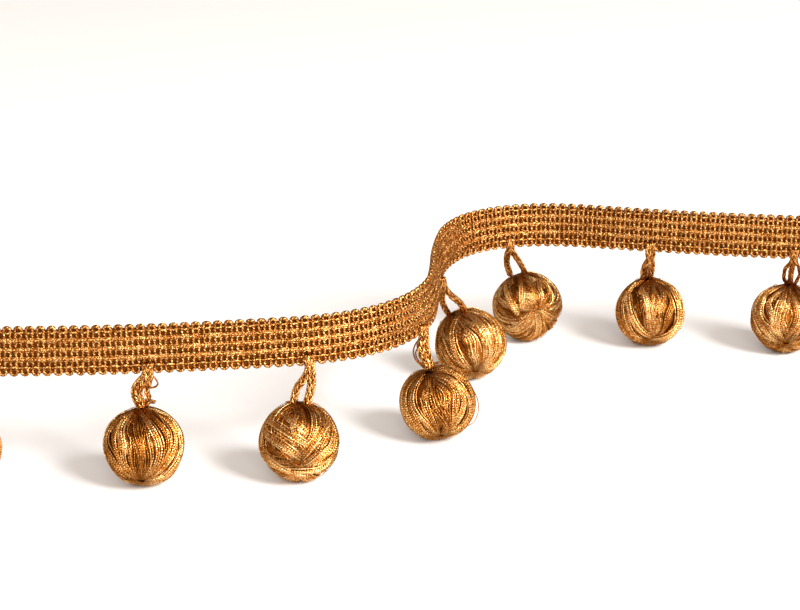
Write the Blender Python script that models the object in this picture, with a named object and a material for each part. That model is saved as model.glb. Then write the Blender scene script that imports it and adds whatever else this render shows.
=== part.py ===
"""A length of ball trim: a woven gimp braid with wound balls hung below it on thread loops.

The trim stands on its balls in an S-shaped run. Each piece is a solid of its own:
  heading_braid   the braid, with rounded edge loops and five raised rows on its front
  hanger_loop_N   the looped threads between the braid and ball N
  wound_ball_N    a ball of wound ribbon, with its turns gathered at two places
Lengths are metres, +Z is up, and the origin is on the floor below the middle of the trim's box.
"""

import math

import bmesh
import bpy
from mathutils import Vector

MM = 0.001
GAP = 0.3 * MM

# Braid
BRAID_LOW_EDGE = 28.3 * MM
BRAID_HEIGHT = 12.7 * MM
BRAID_LEAN = 0.135
BRAID_FIRST_ALONG = -13.4 * MM
SCALLOP_PITCH = 2.683 * MM
SCALLOP_COUNT = 120
SCALLOP_DEPTH = 1.0 * MM
BACK_FACE = 0.7 * MM
EDGE_FRONT = -0.25 * MM
RIB_FRONT = -1.1 * MM
VALLEY_FRONT = -0.55 * MM
RIB_COUNT = 5
RIB_SPACING = 2.2 * MM

# Where one scallop's three sections stand in its pitch, and how far each one reaches out
SCALLOP_SECTIONS = (
    (0.00, 0.0),
    (0.30, 1.0),
    (0.70, 1.0),
)

# The braid's run on the floor plan, from its start point
# along: distance along the braid in mm
# heading: direction of the braid there, in degrees from +X towards +Y
RUN_START = Vector((-110.0, -137.3, 0.0)) * MM
RUN = (
    (-16.0, -4.6),
    (0.0, -1.9),
    (58.0, 7.9),
    (82.7, 9.4),
    (98.4, 26.6),
    (116.6, 55.0),
    (138.5, 84.1),
    (153.0, 88.3),
    (173.0, 82.2),
    (187.9, 61.8),
    (204.1, 26.5),
    (220.8, -2.4),
    (232.3, -13.8),
    (262.5, -10.6),
    (320.7, -4.4),
)
RUN_STEP = 0.25 * MM

# Ball
BALL_RADIUS = 10.0 * MM
BALL_STRETCH = 0.02
BALL_SETTLE = 0.36 * MM
NECK_RISE = 0.4 * MM
EYE_DIP = 0.5 * MM
GROOVE_DEPTH = 0.65 * MM
RING_COUNT = 11

# The ribbon turns round a ball, one row each, repeated round it
# width: share of the way round, against the others
# height: how far the turn lies above the ball's mean surface, in mm
TURNS = (
    (1.2, 0.10),
    (0.8, -0.18),
    (1.0, 0.04),
    (1.3, -0.08),
    (0.7, 0.12),
    (1.0, -0.15),
    (1.2, 0.06),
    (0.8, -0.10),
    (1.1, 0.12),
    (0.9, -0.12),
)

# One row for each ball
# along: where its loop leaves the braid, in mm along the run
# out_x, out_y: ball centre from that point, in mm
# neck: direction from the ball's centre to where its turns gather under the loop
# eye: direction to where the turns meet again
# twist: how far the turns wind round between the two, in degrees
BALLS = (
    (8.0, -6.0, -2.0, (-0.05, 0.15, 0.98), (-0.04, -0.73, -0.68), 8.0),
    (48.2, -1.0, -2.0, (-0.09, 0.15, 0.98), (-0.04, -0.73, -0.68), 7.0),
    (87.4, -1.8, -4.7, (0.00, 0.15, 0.99), (0.05, -0.90, -0.42), -9.0),
    (123.4, 5.5, 0.5, (-0.28, -0.21, 0.94), (0.08, -0.92, -0.37), 5.0),
    (162.6, 9.6, 7.2, (-0.48, 0.03, 0.87), (0.15, -0.80, -0.58), 8.0),
    (208.2, 6.1, 2.6, (-0.32, 0.10, 0.93), (0.26, -0.95, 0.15), 6.0),
    (249.4, 0.9, 1.0, (-0.06, 0.12, 0.98), (0.20, -0.97, 0.07), -7.0),
    (289.2, 0.0, 2.4, (0.09, 0.12, 0.98), (-0.10, -0.85, -0.50), 8.0),
)

# One row for each hanger loop, all in mm but the angle
# thread: radius of its bundled threads
# top: half the space between its two legs at the braid
# foot: half the space between them at the ball
# belly: how far the legs bow apart half way down
# sway: how far the middle of the loop swings along +X
# turn: how far the two legs wind round each other, in degrees
LOOPS = (
    (0.60, 0.80, 1.40, 0.3, -1.2, 40.0),
    (0.66, 0.90, 1.55, 0.2, -1.8, 60.0),
    (0.66, 0.90, 2.10, 0.6, -0.6, 0.0),
    (0.60, 0.75, 0.90, 0.1, 0.6, 200.0),
    (0.60, 0.80, 2.30, 0.2, -0.4, 70.0),
    (0.62, 0.75, 2.30, 0.1, 0.4, 20.0),
    (0.60, 0.75, 1.30, 0.3, 0.9, 150.0),
    (0.60, 0.80, 1.60, 0.6, -1.0, 20.0),
)
LOOP_LEG_POINTS = 8
LOOP_TOP_POINTS = 3

# Finishes: colour, roughness, metallic
BRAID_FINISH = ((0.50, 0.28, 0.08, 1.0), 0.42, 0.55)
LOOP_FINISH = ((0.56, 0.33, 0.10, 1.0), 0.45, 0.45)
BALL_FINISH = ((0.58, 0.32, 0.09, 1.0), 0.38, 0.60)

UP = Vector((0.0, 0.0, 1.0))


def clear_scene():
    for item in list(bpy.data.objects):
        bpy.data.objects.remove(item, do_unlink=True)


def principled(name, finish):
    colour, roughness, metallic = finish
    material = bpy.data.materials.new(name)
    material.use_nodes = True
    shader = material.node_tree.nodes["Principled BSDF"]
    shader.inputs["Base Color"].default_value = colour
    shader.inputs["Roughness"].default_value = roughness
    shader.inputs["Metallic"].default_value = metallic
    material.diffuse_color = colour
    return material


def between(low, high, share):
    return low + (high - low) * share


def heading_at(along):
    """The braid's direction at a distance along it, in radians."""
    place = along / MM
    for (start, first), (end, last) in zip(RUN, RUN[1:]):
        if place <= end:
            return math.radians(between(first, last, (place - start) / (end - start)))
    return math.radians(RUN[-1][1])


def walk_run():
    """Points along the braid's middle line on the floor plan, from following its headings."""
    forward = [(0.0, RUN_START.copy())]
    backward = []
    for points, step in ((forward, RUN_STEP), (backward, -RUN_STEP)):
        along = 0.0
        place = RUN_START.copy()
        while RUN[0][0] * MM < along + step < RUN[-1][0] * MM:
            angle = heading_at(along + step / 2.0)
            place = place + Vector((math.cos(angle), math.sin(angle), 0.0)) * step
            along += step
            points.append((along, place))
    return list(reversed(backward)) + forward


def place_on_run(run, along):
    """The point, direction and backward normal of the braid at a distance along it."""
    first = run[0][0]
    index = min(max(int((along - first) / RUN_STEP), 0), len(run) - 2)
    start, near = run[index]
    end, far = run[index + 1]
    point = near.lerp(far, (along - start) / (end - start))
    angle = heading_at(along)
    direction = Vector((math.cos(angle), math.sin(angle), 0.0))
    return point, direction, UP.cross(direction)


def braid_profile(reach):
    """The braid's section as (across, thickness) points: its flat back, then its ribbed front from the top."""
    half = BRAID_HEIGHT / 2.0
    edge = half - SCALLOP_DEPTH * (1.0 - reach)
    profile = [(-edge, BACK_FACE), (edge, BACK_FACE), (edge, EDGE_FRONT)]
    top_rib = RIB_SPACING * (RIB_COUNT - 1) / 2.0
    for rib in range(RIB_COUNT):
        across = top_rib - rib * RIB_SPACING
        profile.append((across, RIB_FRONT))
        if rib < RIB_COUNT - 1:
            profile.append((across - RIB_SPACING / 2.0, VALLEY_FRONT))
    profile.append((-edge, EDGE_FRONT))
    return profile


def finish_mesh(bm, name, material, sharp_angle):
    """Makes an object from a closed bmesh, shaded smooth but for its sharp edges."""
    bmesh.ops.recalc_face_normals(bm, faces=bm.faces)
    mesh = bpy.data.meshes.new(name)
    bm.to_mesh(mesh)
    bm.free()
    mesh.materials.append(material)
    mesh.shade_smooth()
    mesh.set_sharp_from_angle(angle=math.radians(sharp_angle))
    item = bpy.data.objects.new(name, mesh)
    bpy.context.scene.collection.objects.link(item)
    return item


def make_braid(run, material):
    """Sweeps the braid's section along its run, with its edges stepping out at each loop."""
    bm = bmesh.new()
    rows = []
    for scallop in range(SCALLOP_COUNT + 1):
        sections = SCALLOP_SECTIONS if scallop < SCALLOP_COUNT else SCALLOP_SECTIONS[:1]
        for share, reach in sections:
            along = BRAID_FIRST_ALONG + (scallop + share) * SCALLOP_PITCH
            point, direction, back = place_on_run(run, along)
            rise = (UP + back * BRAID_LEAN).normalized()
            through = rise.cross(direction)
            middle = point + UP * (BRAID_LOW_EDGE + BRAID_HEIGHT / 2.0)
            row = []
            for across, depth in braid_profile(reach):
                row.append(bm.verts.new(middle + rise * across + through * depth))
            rows.append(row)
    for near, far in zip(rows, rows[1:]):
        count = len(near)
        for i in range(count):
            j = (i + 1) % count
            bm.faces.new((near[i], near[j], far[j], far[i]))
    bm.faces.new(list(reversed(rows[0])))
    bm.faces.new(rows[-1])
    return finish_mesh(bm, "heading_braid", material, 40.0)


def wound_direction(longitude, latitude, neck, eye):
    """A place on a ball whose turns run from neck to eye, drawn together on the side between them."""
    gather = (neck + eye) / 2.0
    axis = (neck - eye).normalized()
    front = gather.normalized()
    side = axis.cross(front)
    drawn = gather.length
    shrink = math.sqrt(1.0 - drawn * drawn)
    up_axis = math.sin(latitude)
    to_front = math.cos(latitude) * math.cos(longitude)
    to_side = math.cos(latitude) * math.sin(longitude)
    place = axis * up_axis * shrink + side * to_side * shrink + front * (to_front + drawn)
    return place.normalized()


def ball_columns():
    """Longitudes round a ball as (angle, height): a groove, then the two shoulders of each turn."""
    whole = sum(width for width, height in TURNS)
    columns = []
    start = 0.0
    for width, height in TURNS:
        share = math.tau * width / whole
        columns.append((start, -GROOVE_DEPTH))
        columns.append((start + share * 0.30, height * MM))
        columns.append((start + share * 0.72, height * MM))
        start += share
    return columns


def ball_radius(direction, height, neck, eye):
    """How far the ball's surface is from its centre, with its turns smoothed out on the floor."""
    floor_side = max(0.0, -direction.z)
    settled = 1.0 - floor_side**12
    near_neck = max(0.0, direction.dot(neck)) ** 24
    near_eye = max(0.0, direction.dot(eye)) ** 40
    upright = BALL_STRETCH * direction.z * direction.z
    radius = BALL_RADIUS * (1.0 + upright) + height * settled * (1.0 - near_neck)
    return radius + NECK_RISE * near_neck - EYE_DIP * near_eye


def make_ball(name, centre, neck, eye, twist, material):
    """Lofts the ball's turns from its neck to its eye and cuts the small flat it stands on."""
    bm = bmesh.new()
    columns = ball_columns()
    rings = []
    for ring in range(1, RING_COUNT + 1):
        share = ring / (RING_COUNT + 1)
        latitude = math.pi * (0.5 - share)
        row = []
        for angle, height in columns:
            longitude = angle + math.radians(twist) * (share - 0.5) * 2.0
            direction = wound_direction(longitude, latitude, neck, eye)
            row.append(bm.verts.new(direction * ball_radius(direction, height, neck, eye)))
        rings.append(row)
    top = bm.verts.new(neck * ball_radius(neck, 0.0, neck, eye))
    bottom = bm.verts.new(eye * ball_radius(eye, 0.0, neck, eye))
    count = len(columns)
    for i in range(count):
        j = (i + 1) % count
        bm.faces.new((top, rings[0][i], rings[0][j]))
        for upper, lower in zip(rings, rings[1:]):
            bm.faces.new((upper[i], lower[i], lower[j], upper[j]))
        bm.faces.new((bottom, rings[-1][j], rings[-1][i]))
    bmesh.ops.triangulate(bm, faces=bm.faces)
    floor = Vector((0.0, 0.0, -centre.z))
    everything = list(bm.verts) + list(bm.edges) + list(bm.faces)
    cut = bmesh.ops.bisect_plane(
        bm, geom=everything, dist=1e-7, plane_co=floor, plane_no=UP, clear_inner=True
    )
    rim = [item for item in cut["geom_cut"] if isinstance(item, bmesh.types.BMEdge)]
    for edge in rim:
        for vert in edge.verts:
            vert.co.z = -centre.z
    bmesh.ops.edgeloop_fill(bm, edges=rim)
    item = finish_mesh(bm, name, material, 30.0)
    item.location = centre
    return item


def loop_path(root, centre, neck, direction, row):
    """Points down one leg's length, round the loop's top and down the other leg."""
    thread, top, foot, belly, sway, turn = row
    crown = root - UP * (GAP + (thread + top) * MM)
    seat = BALL_RADIUS * (1.0 + BALL_STRETCH) + NECK_RISE + GAP + 0.25 * MM
    foot_middle = centre + neck * seat
    across = Vector((1.0, 0.0, 0.0))
    turn_start = math.atan2(direction.y, direction.x)
    legs = []
    for side in (-1.0, 1.0):
        leg = []
        for i in range(LOOP_LEG_POINTS):
            share = i / (LOOP_LEG_POINTS - 1)
            bow = math.sin(math.pi * share)
            middle = foot_middle.lerp(crown, share) + across * sway * MM * bow
            reach = (between(foot, top, share) + belly * bow) * MM
            angle = turn_start * share + math.radians(turn) * (1.0 - share) * share * 2.0
            point = middle + Vector((math.cos(angle), math.sin(angle), 0.0)) * reach * side
            if i == 0:
                point = centre + (point - centre).normalized() * seat
            leg.append(point)
        legs.append(leg)
    arc = []
    opening = (legs[1][-1] - legs[0][-1]) / 2.0
    for i in range(1, LOOP_TOP_POINTS + 1):
        swing = math.pi * i / (LOOP_TOP_POINTS + 1)
        arc.append(crown - opening * math.cos(swing) + UP * opening.length * math.sin(swing))
    return legs[0] + arc + list(reversed(legs[1]))


def make_loop(name, points, thread, material):
    """A round thread bundle with closed ends through the loop's points."""
    origin = points[len(points) // 2]
    curve = bpy.data.curves.new(name, "CURVE")
    curve.dimensions = "3D"
    curve.twist_mode = "MINIMUM"
    curve.bevel_depth = thread * MM
    curve.bevel_resolution = 0
    curve.use_fill_caps = True
    spline = curve.splines.new("POLY")
    spline.points.add(len(points) - 1)
    for spot, point in zip(spline.points, points):
        spot.co = (*(point - origin), 1.0)
        spot.radius = 1.0
    spline.use_smooth = True
    curve.materials.append(material)
    item = bpy.data.objects.new(name, curve)
    bpy.context.scene.collection.objects.link(item)
    item.location = origin
    return item


def box_of(items):
    """The lowest and highest corners of the items, from their own points."""
    bpy.context.view_layer.update()
    graph = bpy.context.evaluated_depsgraph_get()
    corners = []
    for item in items:
        seen = item.evaluated_get(graph)
        mesh = seen.to_mesh()
        corners.extend(item.matrix_world @ vert.co for vert in mesh.vertices)
        seen.to_mesh_clear()
    low = Vector(min(corner[axis] for corner in corners) for axis in range(3))
    high = Vector(max(corner[axis] for corner in corners) for axis in range(3))
    return low, high


def main():
    clear_scene()
    braid_gold = principled("braid_gold", BRAID_FINISH)
    loop_gold = principled("loop_gold", LOOP_FINISH)
    ball_gold = principled("ball_gold", BALL_FINISH)
    run = walk_run()
    items = [make_braid(run, braid_gold)]
    for number, (ball, loop) in enumerate(zip(BALLS, LOOPS)):
        along, out_x, out_y, neck, eye, twist = ball
        neck = Vector(neck).normalized()
        eye = Vector(eye).normalized()
        point, direction, back = place_on_run(run, along * MM)
        root = point + UP * BRAID_LOW_EDGE - back * BRAID_LEAN * BRAID_HEIGHT / 2.0
        centre = point + Vector((out_x, out_y, 0.0)) * MM
        centre.z = BALL_RADIUS * (1.0 + BALL_STRETCH) - BALL_SETTLE
        items.append(make_ball(f"wound_ball_{number}", centre, neck, eye, twist, ball_gold))
        path = loop_path(root, centre, neck, direction, loop)
        items.append(make_loop(f"hanger_loop_{number}", path, loop[0], loop_gold))
    low, high = box_of(items)
    stand = bpy.data.objects.new("trim_stand", None)
    bpy.context.scene.collection.objects.link(stand)
    for item in items:
        item.parent = stand
    stand.location = (-(low.x + high.x) / 2.0, -(low.y + high.y) / 2.0, -low.z)


main()
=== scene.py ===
"""Dresses a length of ball trim in yarn: a woven gimp braid, its thread loops and its wound balls."""

import math

import bmesh
import bpy
import numpy as np
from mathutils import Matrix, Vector


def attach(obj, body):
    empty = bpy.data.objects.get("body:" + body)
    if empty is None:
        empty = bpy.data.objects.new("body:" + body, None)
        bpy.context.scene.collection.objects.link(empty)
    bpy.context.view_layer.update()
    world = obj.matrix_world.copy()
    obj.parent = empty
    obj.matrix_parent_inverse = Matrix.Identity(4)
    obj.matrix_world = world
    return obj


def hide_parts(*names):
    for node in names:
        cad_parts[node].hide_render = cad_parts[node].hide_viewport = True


bl_info = {
    "name": "Ball Trim Yarn",
    "version": (1, 0, 0),
    "blender": (4, 5, 0),
    "location": "View3D > Sidebar > Ball Trim",
    "description": "Weaves a gimp braid with wound balls on thread loops",
    "category": "Object",
}

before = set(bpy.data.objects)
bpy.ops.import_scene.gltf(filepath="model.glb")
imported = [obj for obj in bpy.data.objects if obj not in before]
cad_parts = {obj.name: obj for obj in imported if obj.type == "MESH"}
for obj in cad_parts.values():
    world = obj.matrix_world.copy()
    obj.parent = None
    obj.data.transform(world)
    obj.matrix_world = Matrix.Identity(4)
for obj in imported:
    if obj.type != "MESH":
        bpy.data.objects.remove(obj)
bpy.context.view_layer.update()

MM = 0.001

# The braid's run on the floor plan, from its start point
# along: distance along the braid in mm
# heading: direction of the braid there, in degrees from +X towards +Y
RUN_START = (-113.123, -52.524)
RUN = (
    (-16.0, -4.6),
    (0.0, -1.9),
    (58.0, 7.9),
    (82.7, 9.4),
    (98.4, 26.6),
    (116.6, 55.0),
    (138.5, 84.1),
    (153.0, 88.3),
    (173.0, 82.2),
    (187.9, 61.8),
    (204.1, 26.5),
    (220.8, -2.4),
    (232.3, -13.8),
    (262.5, -10.6),
    (320.7, -4.4),
)
RUN_STEP = 0.25

# The braid on its run
# lean: how far it leans back for each mm of its height
# middle: height of its middle line above the floor, in mm
# first along: where its first edge loop starts on the run, in mm
BRAID_LEAN = 0.135
BRAID_MIDDLE = 34.66
BRAID_FIRST_ALONG = -13.4
SCALLOP_COUNT = 120

# Where the braid's cords lie behind its middle, in mm, those in front below zero
BAR_DEPTH = -0.28
ROW_DEPTH = -0.72
CROSSING_DEPTH = -0.78
FILLER_DEPTH = -0.48
TIE_DEPTH = -0.68
BACK_DEPTH = 0.42
GROUND_DEPTH = 0.20

# Radii of the braid's other cords, in mm
FILLER_RADIUS = 0.46
TIE_RADIUS = 0.37
BACK_RADIUS = 0.34

# The notch where two edge threads part, over a hole between two bars
# depth: how far the threads sink there, in mm
# the other two: the painted shade on the threads there, as a mix towards the shade colour and as tone taken
# off
NOTCH_DEPTH = 0.22
NOTCH_SHADOW = 0.85
NOTCH_PAINTED_DIMMING = 0.25

# The stitched rows along the braid, from the top
# across: the row's distance above the braid's middle, in mm
# half: half its height, in mm
STITCHED_ROWS = (
    (2.72, 0.82),
    (0.43, 0.82),
    (-1.95, 0.86),
)

# The threads that tie the edge loops together, at their roots
# across: distance above the braid's middle, in mm
# first: the first loop's place, in half loop spacings
# droop: how far the thread bows towards the loops' ends, in mm
# dip: how far it goes under between two loops, in mm
LOOP_TIES = (
    (4.66, 1.0, -0.10, 0.34),
    (-3.96, 0.0, 0.10, 0.22),
)

# Length of one ply's stroke along a twisted thread, in mm, and its plies
PLY_LENGTH = 0.75
PLIES = 2

# One row for each ball
# along: where its loop leaves the braid, in mm along the run
# centre: the ball's centre from that point, in mm
# neck: direction from the ball's centre to where its turns gather under the loop
# eye: direction to where the turns meet again
# twist: how far the turns wind round between the two, in degrees
BALLS = (
    (8.0, (-6.0, -2.0), (-0.05, 0.15, 0.98), (-0.04, -0.73, -0.68), 8.0),
    (48.2, (-1.0, -2.0), (-0.09, 0.15, 0.98), (-0.04, -0.73, -0.68), 7.0),
    (87.4, (-1.8, -4.7), (0.00, 0.15, 0.99), (-0.01, -0.97, -0.22), -9.0),
    (123.4, (5.5, 0.5), (-0.28, -0.21, 0.94), (0.08, -0.69, -0.72), 5.0),
    (162.6, (9.6, 7.2), (-0.48, 0.03, 0.87), (0.15, -0.80, -0.58), 8.0),
    (208.2, (6.1, 2.6), (-0.32, 0.10, 0.93), (0.26, -0.92, 0.28), 6.0),
    (249.4, (0.9, 1.0), (-0.06, 0.12, 0.98), (0.05, -0.72, -0.69), -7.0),
    (289.2, (0.0, 2.4), (0.09, 0.12, 0.98), (-0.10, -0.85, -0.50), 8.0),
)
BALL_MIDDLE = 9.84

# The photograph's camera
# place: in mm
# lens, sensor: in mm
# tilt: below level, in degrees
CAMERA_PLACE = (-3.123, -575.771, 223.57)
CAMERA_LENS = 103.07
CAMERA_SENSOR = 36.0
CAMERA_TILT = 18.698

# The floor's reach from the middle, in metres
FLOOR_REACH = 3.0

# The square soft lights: direction from the trim, distance and side in metres
KEY_LIGHT = ((0.62, -0.54, 0.55), 1.9, 0.72)
FILL_LIGHT = ((0.16, -0.92, 0.34), 1.8, 0.7)
LIGHT_COLOUR = (1.0, 0.985, 0.96)
ROOM_COLOUR = (1.0, 0.91, 0.84, 1.0)

# How each turn of ribbon lies, repeated round a ball
# height: above the ball's mean surface, in mm
# tilt: how far one edge lifts and the other dips, in mm
TURN_LIES = (
    (0.12, 0.20),
    (-0.14, 0.08),
    (0.04, -0.18),
    (-0.08, 0.18),
    (0.14, -0.14),
    (-0.16, -0.10),
    (0.08, 0.22),
    (-0.04, -0.16),
)

# The threads across one ribbon
# place: from one edge of the ribbon to the other, -1 to 1
# radius: in mm
# beads: how much the thread swells at each stitch
RIBBON_THREADS = (
    (-1.0, 0.25, 0.0),
    (-0.42, 0.28, 0.42),
    (0.0, 0.24, 0.0),
    (0.42, 0.28, 0.42),
    (1.0, 0.25, 0.0),
)

# How the ribbon lies, in mm
# sink: how far its edge threads lie below the ball's surface
# crown: how far its middle stands above its edges
# neck rise, eye dip: how far it rises at the neck and sinks at the eye
RIBBON_SINK = 0.78
RIBBON_CROWN = 0.34
NECK_RISE = 0.25
EYE_DIP = 0.15

# Painted shade on the ribbon's threads: where it narrows, at the neck, at the eye, and on the threads with no
# beads
NARROW_SHADOW = 0.5
NECK_SHADOW = 0.55
EYE_SHADOW = 0.5
PLAIN_SHADOW = 0.15

# How light the ribbon's threads are
# bead light: the painted highlight on a bead's top, with painted shade between beads
# thread tones: how far one thread differs from its ribbon
BEAD_LIGHT = 0.45
THREAD_TONES = 0.20

# How unevenly the turns are wound
# jitter: how far a turn starts from its even place, in parts of the space between two
# lean: how far its twist differs from the ball's, in degrees
# wander: how far it strays on its way, and at its ends, as angles
# tones: the dullest and the lightest turn
# ends: where on its way it comes out of the neck and goes in at the eye
TURN_JITTER = 0.34
TURN_LEAN = 13.0
TURN_WANDER = 0.065
TURN_END_WANDER = 0.12
TURN_TONES = (0.20, 0.72)
TURN_ENDS = (0.03, 0.97)
TURN_POINTS = 120
WRAP_TONE = 0.65

# The ball's own shape
# stretch: how much taller than wide it is
# lumps: how many soft ones it has, their heights in mm and how close their waves are
# floor gaps: kept above the floor by its threads and by its inner layers, in mm
# under depth: of the inner layers below its surface, in mm
BALL_STRETCH = 0.02
LUMP_COUNT = 6
LUMP_HEIGHTS = (0.05, 0.12)
LUMP_WAVES = 5.0
FLOOR_GAP = 0.02
UNDER_FLOOR_GAP = 0.05
UNDER_DEPTH = 0.98

# The fine threads across a ball's turns: radii and depth below its surface, in mm, and tilt in degrees
HAIR_RADII = (0.07, 0.11)
HAIR_SINK = 0.05
HAIR_LEAN = 12.0

# Turns of ribbon that cross the others, as they lie on the balls in the photograph
# ball: which ball
# width: over the ribbon's edges, in mm
# height: above the ball's mean surface, in mm
# shadow: how much painted shade the ribbon wears, 0 to 1; those at 0.9 and 1 are dark strips laid where a
# pocket between the turns lies in shade
# points: across and up from the ball's middle as seen from the front, in parts of its radius
WRAPS = (
    (1, 2.2, 0.34, 0.0, ((-0.23, 0.93), (-0.47, 0.69), (-0.59, 0.43), (-0.58, 0.12), (-0.50, -0.20))),
    (1, 2.6, 0.28, 0.0, ((0.31, -0.92), (0.62, -0.66), (0.86, -0.36), (0.95, -0.05))),
    (2, 2.4, 0.20, 0.0, ((0.05, -0.51), (0.31, -0.18), (0.62, 0.25), (0.79, 0.56))),
    (2, 2.4, 0.26, 0.0, ((-0.60, 0.78), (-0.17, 0.47), (0.23, 0.12))),
    (2, 2.4, 0.34, 0.0, ((-0.80, 0.56), (-0.43, 0.30), (-0.03, 0.03), (0.27, -0.14))),
    (2, 2.4, 0.42, 0.0, ((-0.94, 0.28), (-0.60, 0.03), (-0.25, -0.23), (0.05, -0.49))),
    (2, 2.4, 0.28, 0.0, ((0.10, -0.70), (0.53, -0.36), (0.90, 0.12))),
    (2, 2.4, 0.26, 0.0, ((-0.93, -0.27), (-0.60, -0.62), (-0.17, -0.83), (0.31, -0.90))),
    (2, 2.4, 0.34, 0.0, ((-0.77, -0.53), (-0.34, -0.75), (0.10, -0.79), (0.53, -0.70), (0.88, -0.31))),
    (4, 2.6, 0.36, 0.0, ((-0.32, 0.82), (-0.51, 0.43), (-0.47, -0.05), (-0.25, -0.49), (0.01, -0.79))),
    (4, 0.9, 0.34, 0.9, ((-0.22, 0.45), (-0.20, 0.10), (-0.12, -0.12))),
    (5, 2.0, 0.46, 1.0, ((-0.38, 0.76), (-0.34, 0.34), (-0.26, 0.00))),
    (5, 2.0, 0.56, 0.0, ((-0.60, 0.73), (-0.56, 0.38), (-0.43, 0.03), (-0.25, -0.31))),
    (5, 2.0, 0.56, 0.0, ((-0.17, 0.66), (-0.17, 0.25), (-0.15, -0.08))),
    (5, 2.2, 0.34, 0.0, ((0.20, -0.14), (0.00, -0.42), (-0.32, -0.66), (-0.64, -0.70))),
    (5, 2.2, 0.30, 0.0, ((0.28, -0.18), (0.34, -0.50), (0.30, -0.80), (0.18, -0.96))),
    (5, 2.2, 0.36, 0.0, ((0.36, -0.08), (0.60, -0.24), (0.84, -0.36))),
    (6, 2.3, 0.42, 1.0, ((-0.46, 0.72), (-0.40, 0.25), (-0.30, -0.18), (-0.20, -0.46))),
    (6, 1.8, 0.52, 0.0, ((-0.28, 0.74), (-0.16, 0.44), (-0.06, 0.14), (-0.04, -0.20))),
    (6, 2.4, 0.50, 0.0, ((-0.53, 0.77), (-0.62, 0.38), (-0.52, -0.10), (-0.24, -0.56), (0.10, -0.80))),
    (6, 2.4, 0.34, 0.0, ((0.00, -0.86), (0.40, -0.76), (0.74, -0.50), (0.92, -0.16))),
    (6, 0.5, 0.25, 1.0, ((0.02, 0.38), (0.02, 0.14))),
)

# The legs of the hanger loops, each a plait of fine threads
# ball: which ball it holds
# radius: of the plait where it is fullest, in mm
# wind: how many times its threads go round it
# points: places down the leg from its place at the braid's lower edge, along +X and up, in mm
LEGS = (
    (0, 0.95, 1.1, ((0.4, 2.6), (0.0, -0.6), (-1.8, -3.4), (-3.6, -6.0), (-6.0, -8.9))),
    (0, 0.85, 1.1, ((1.2, 2.6), (1.0, -0.6), (0.4, -3.4), (-1.6, -6.4), (-4.2, -8.9))),
    (1, 1.45, 1.2, ((0.1, 2.4), (0.0, -0.6), (-1.5, -2.6), (-2.7, -4.4), (-2.7, -6.2), (-1.7, -9.2))),
    (1, 0.80, 1.3, ((1.0, 2.4), (0.9, -0.6), (0.4, -2.8), (-0.2, -5.0), (0.0, -6.8), (-0.6, -9.0))),
    (2, 1.00, 1.3, ((0.0, 2.4), (0.0, -1.8), (-0.7, -3.2), (-2.4, -5.4), (-3.3, -7.5), (-3.5, -9.6))),
    (2, 1.15, 1.2, ((0.7, 2.4), (0.9, -1.8), (1.0, -3.2), (0.9, -5.0), (0.5, -7.1), (-0.3, -9.6))),
    (3, 1.25, 1.0, ((0.2, 2.4), (0.2, -0.6), (-0.2, -2.9), (0.3, -5.5), (1.7, -8.8))),
    (3, 1.00, 1.1, ((0.9, 2.4), (0.9, -0.6), (0.9, -2.9), (1.5, -5.5), (2.3, -8.6))),
    (4, 0.95, 1.4, ((0.4, 2.4), (0.9, -0.8), (1.9, -2.6), (3.4, -4.4), (5.2, -6.6), (6.3, -10.0))),
    (4, 0.85, 1.4, ((0.2, 2.4), (0.2, -0.6), (0.0, -2.2), (0.0, -5.2), (1.0, -8.6), (2.7, -12.0))),
    (5, 1.00, 1.2, ((-0.2, 2.4), (0.0, -0.4), (-0.4, -2.6), (-0.5, -4.8), (0.5, -9.8))),
    (5, 0.85, 1.3, ((0.6, 2.4), (0.8, -0.9), (1.8, -3.0), (3.1, -5.2), (4.9, -9.2))),
    (6, 1.15, 1.0, ((0.1, 2.4), (0.2, -0.9), (1.0, -3.5), (1.2, -5.7), (1.0, -9.2))),
    (6, 1.05, 1.0, ((0.9, 2.4), (1.0, -0.9), (0.6, -2.6), (-0.5, -4.9), (-0.9, -9.2))),
    (7, 0.60, 1.4, ((0.2, 2.4), (0.4, -0.6), (-0.9, -3.8), (-1.0, -6.2), (0.0, -9.4))),
    (7, 0.85, 1.3, ((0.8, 2.4), (0.8, -1.6), (0.9, -4.5), (1.2, -9.2))),
    (7, 0.60, 1.4, ((1.6, 2.4), (1.8, -1.0), (3.0, -3.6), (3.4, -6.2), (2.4, -9.4))),
)

# Where the hanger loops start and end
# root: above the braid's middle, in mm
# root depth, front depth: behind the braid's middle where a leg leaves it, and higher up on its face, in mm
# meets: distance from a ball's centre, in mm
LOOP_ROOT = -5.8
LOOP_ROOT_DEPTH = -0.9
LOOP_FRONT_DEPTH = -1.0
LOOP_MEETS = 10.2
LEG_POINTS = 46

# Single loose threads, as LEGS but each with its own radius in mm and how light it is, 0 to 1
LOOSE_THREADS = (
    (1, 0.25, 0.3, ((1.0, -0.4), (2.2, -1.8), (2.5, -3.0), (1.9, -3.7), (0.6, -4.0))),
    (1, 0.28, 0.2, ((-0.4, -7.2), (0.6, -7.4), (1.9, -7.8))),
    (1, 0.24, 0.1, ((-1.6, -7.6), (0.0, -7.9), (1.5, -8.3))),
    (2, 0.28, 0.2, ((-3.4, -9.0), (-4.4, -9.1), (-5.5, -9.3))),
    (3, 0.22, 0.0, ((-0.2, -0.6), (-1.7, -2.4), (-2.3, -4.4), (-1.8, -6.4), (0.4, -8.8))),
    (3, 0.20, 0.0, ((-0.8, -3.0), (-1.7, -4.6), (-1.2, -6.6), (0.8, -8.6))),
    (3, 0.26, 0.2, ((2.4, -7.6), (3.6, -7.4), (4.9, -7.0))),
)

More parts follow.
